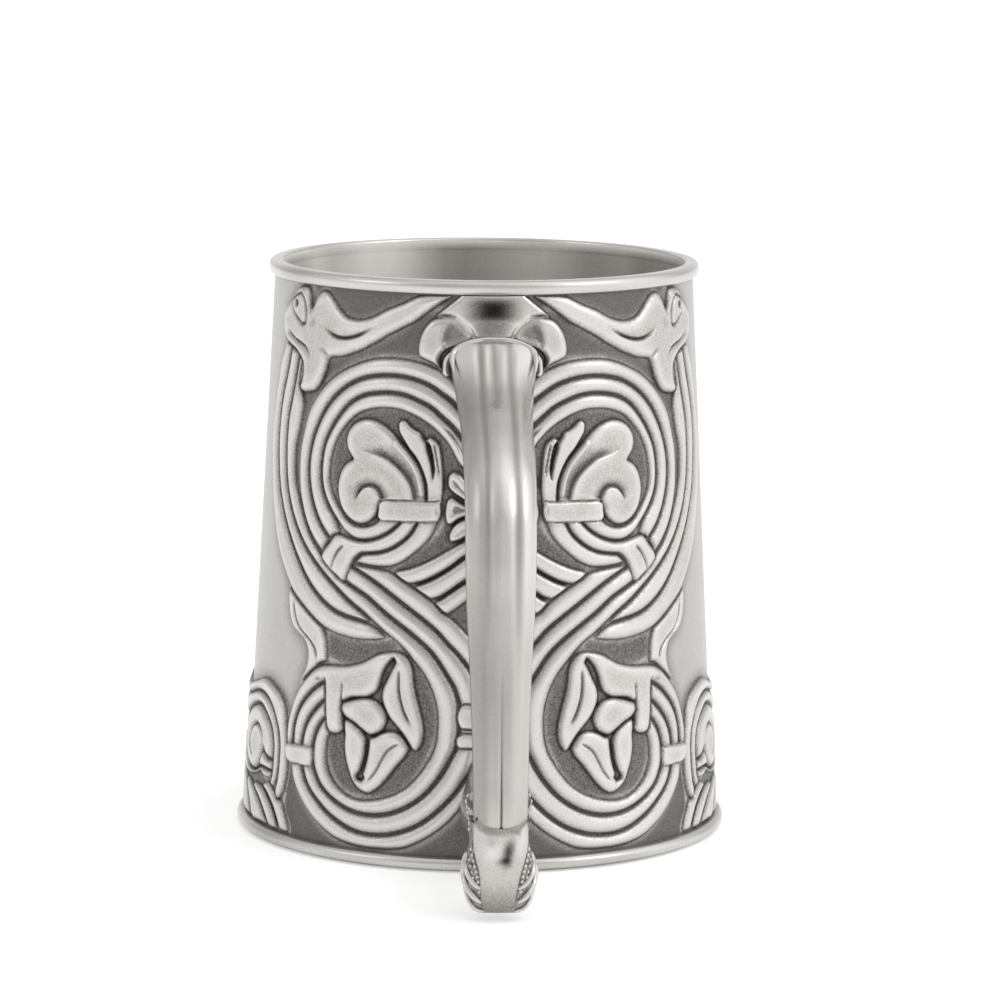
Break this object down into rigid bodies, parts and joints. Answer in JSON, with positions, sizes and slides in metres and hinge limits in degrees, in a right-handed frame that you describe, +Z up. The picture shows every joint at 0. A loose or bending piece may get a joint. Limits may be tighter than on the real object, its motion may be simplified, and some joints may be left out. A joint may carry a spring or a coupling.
{
  "type": "pewter tankard",
  "caption": "Open straight-sided pewter tankard with cast interlace relief round the drum and a hollow scrolled handle ending in a small beast head.",
  "frame": {"origin": "centre of the foot ring's resting face, on the drum's axis", "axes": "+Z up along the drum's axis; the handle is towards -Y; +X is to the right seen from the handle side"},
  "size_m": [0.0998, 0.1429, 0.116],
  "materials": {
    "pewter_wall": "satin brushed pewter, darkened beside the relief",
    "pewter_relief": "antiqued cast pewter, bright tops and dark grounds",
    "pewter_handle": "satin pewter, brushed lengthwise",
    "pewter_bright": "polished pewter",
    "pewter_inside": "matt turned pewter"
  },
  "bodies": {
    "root": {"drum_wall": "pewter_wall", "lip_ring": "pewter_bright", "foot_ring": "pewter_bright", "floor_disc": "pewter_inside", "relief_handle_left": "pewter_relief", "relief_handle_right": "pewter_relief", "relief_front_left": "pewter_relief", "relief_front_right": "pewter_relief", "relief_side_left": "pewter_relief", "relief_side_right": "pewter_relief", "handle_spine": "pewter_handle", "handle_inner_shell": "pewter_handle", "handle_top_mount": "pewter_handle", "handle_tail_head": "pewter_relief"}
  },
  "joints": []
}
